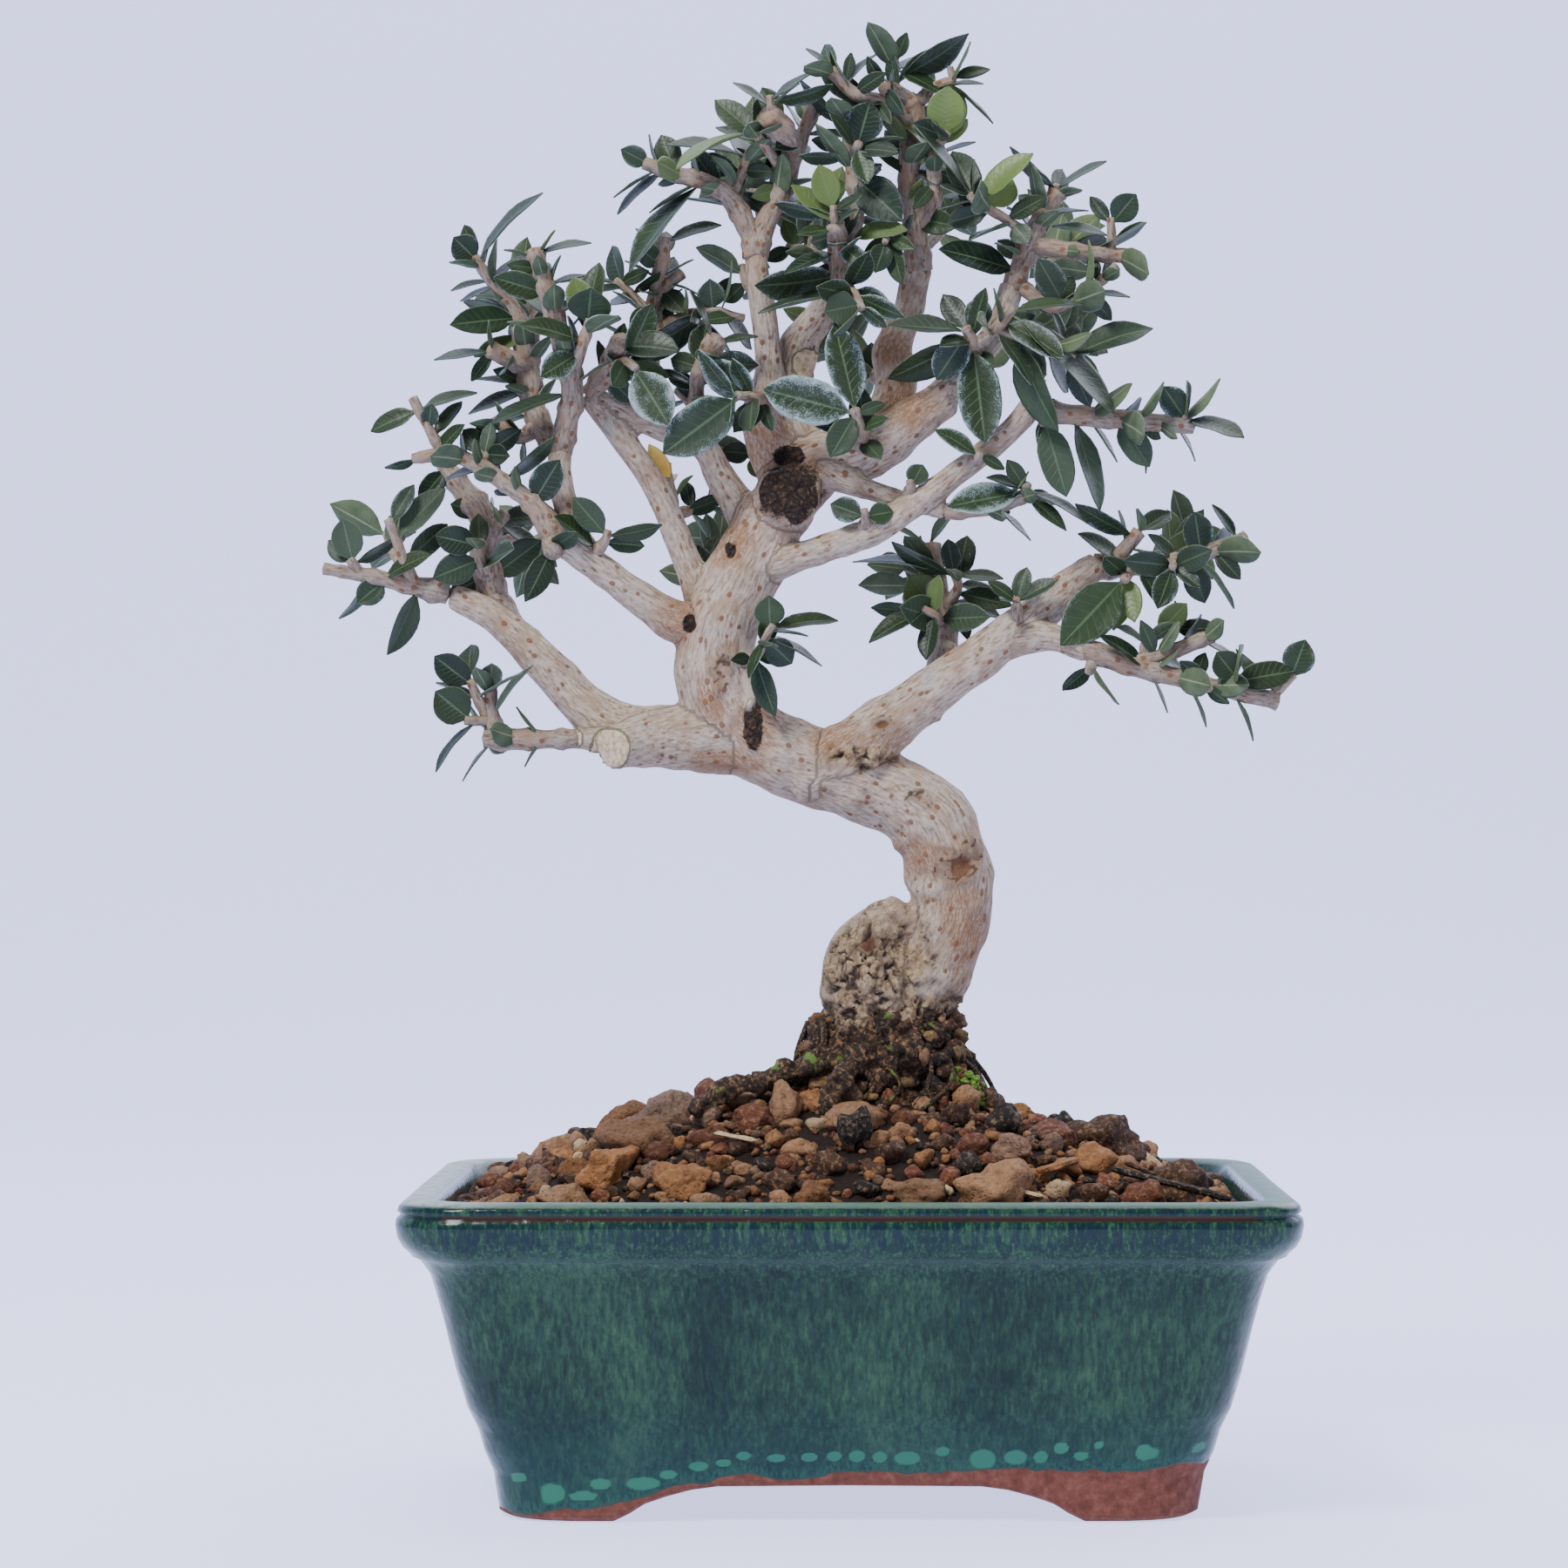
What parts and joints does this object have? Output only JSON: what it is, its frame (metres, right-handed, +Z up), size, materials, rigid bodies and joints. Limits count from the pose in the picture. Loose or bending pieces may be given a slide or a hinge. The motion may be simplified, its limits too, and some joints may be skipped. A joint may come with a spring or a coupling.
{
  "type": "olive bonsai in pot",
  "caption": "Small olive tree with a bent trunk and leafy sprays, growing in gravelly soil in a glazed footed rectangular pot.",
  "frame": {"origin": "middle of the bounding box at the level the pot stands on", "axes": "+Z up, +X to the viewer's right along the pot's long side, +Y away from the viewer"},
  "size_m": [0.2072, 0.135, 0.3054],
  "materials": {
    "glaze": "teal-green glaze over red clay, gloss",
    "mesh_plastic": "black plastic net",
    "gravel": "brown gravel and potting grit",
    "bark": "pale grey bark",
    "leaf": "leathery dark green leaf"
  },
  "bodies": {
    "root": {"drain_screen_left": "mesh_plastic", "drain_screen_right": "mesh_plastic", "pot": "glaze", "soil_and_gravel": "gravel", "spray_arm_side": "leaf", "spray_broken_stub": "leaf", "spray_crown_left": "leaf", "spray_crown_left_low": "leaf", "spray_crown_middle": "leaf", "spray_crown_right": "leaf", "spray_crown_top": "leaf", "spray_cut_stub": "leaf", "spray_front_left": "leaf", "spray_front_right": "leaf", "spray_inner_left": "leaf", "spray_inner_low": "leaf", "spray_knob_back": "leaf", "spray_left_arm": "leaf", "spray_left_upright": "leaf", "spray_low_left_back": "leaf", "spray_low_left_tip": "leaf", "spray_right_back": "leaf", "spray_right_inner_leaf": "leaf", "spray_right_inner_low": "leaf", "spray_right_inner_tip": "leaf", "spray_right_limb_leaf": "leaf", "spray_right_low_tip": "leaf", "spray_right_stub": "leaf", "spray_right_thin": "leaf", "spray_right_thin_root": "leaf", "spray_right_under": "leaf", "spray_stem_back": "leaf", "spray_stub_left": "leaf", "spray_trunk_back": "leaf", "spray_trunk_front": "leaf", "spray_trunk_shoot": "leaf", "trunk": "bark"}
  },
  "joints": []
}
